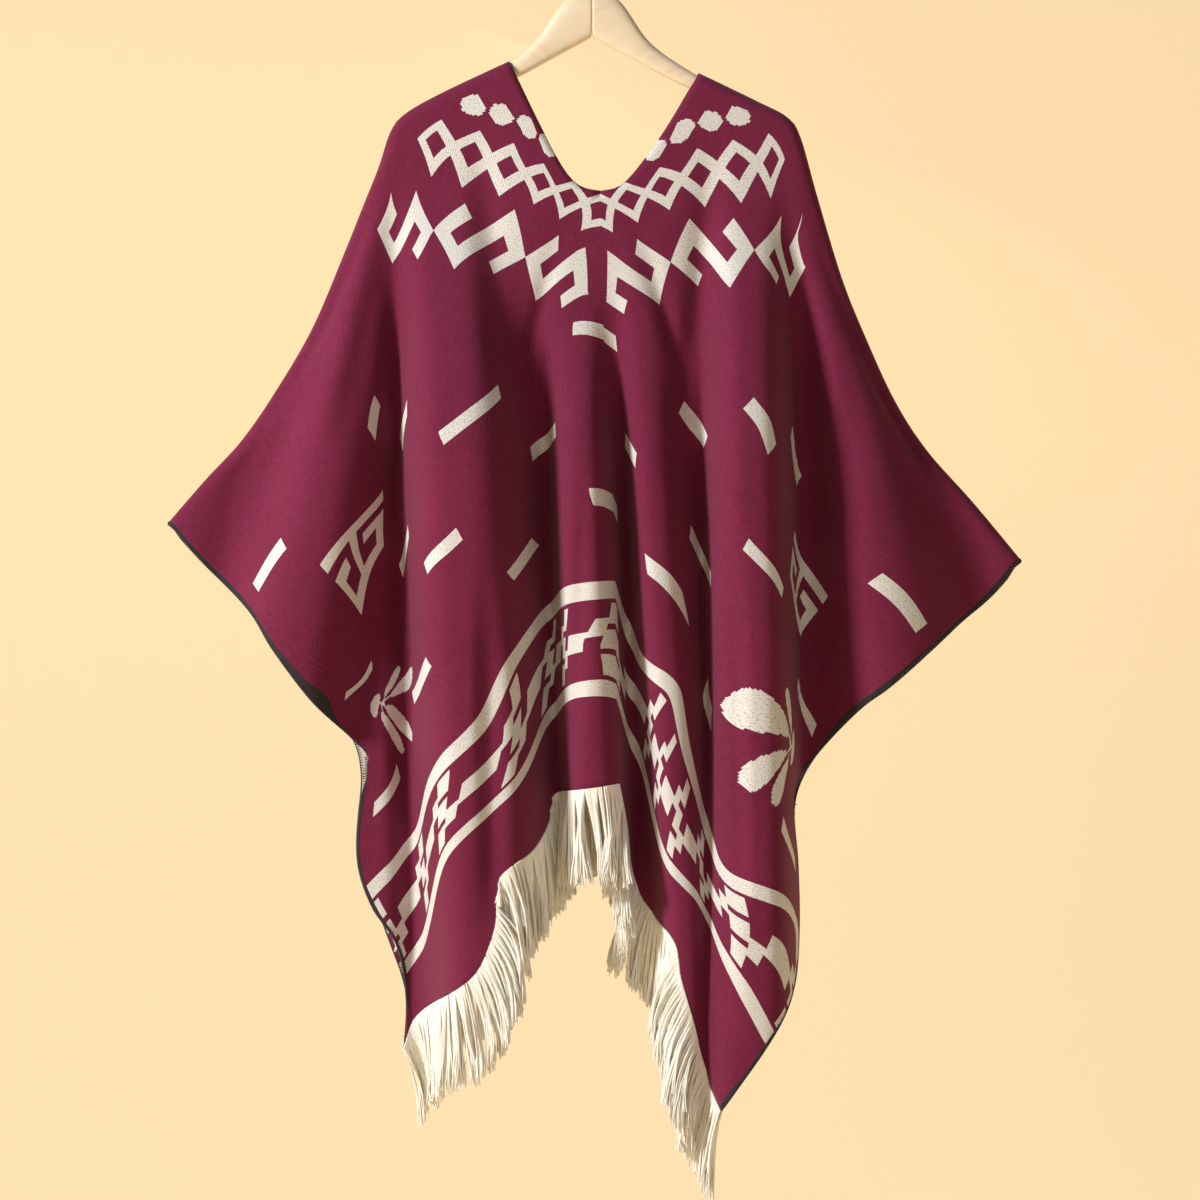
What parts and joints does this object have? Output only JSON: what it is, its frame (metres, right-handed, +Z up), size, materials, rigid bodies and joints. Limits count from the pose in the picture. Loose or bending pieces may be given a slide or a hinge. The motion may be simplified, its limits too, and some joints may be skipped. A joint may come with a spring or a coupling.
{
  "type": "fringed poncho cape on a wooden hanger",
  "caption": "Woven poncho cape with a V neck, long pointed corners and a fringe at both hems, hanging in deep folds from a wooden coat hanger with a wire hook.",
  "frame": {"origin": "inside crown of the hanger's hook, where a rod carries it", "axes": "+Z up, -Y the way the front faces, +X to the right as seen from the front"},
  "size_m": [0.8688, 0.2414, 1.267],
  "materials": {
    "cloth": "brushed burgundy double cloth with a cream woven pattern",
    "fringe": "soft ivory yarn",
    "wood": "pale birch, thin satin lacquer",
    "steel": "bright drawn wire"
  },
  "bodies": {
    "root": {"front_panel": "cloth", "back_panel": "cloth", "front_fringe": "fringe", "back_fringe": "fringe", "hanger_arm_left": "wood", "hanger_arm_right": "wood", "hanger_hook": "steel"}
  },
  "joints": []
}
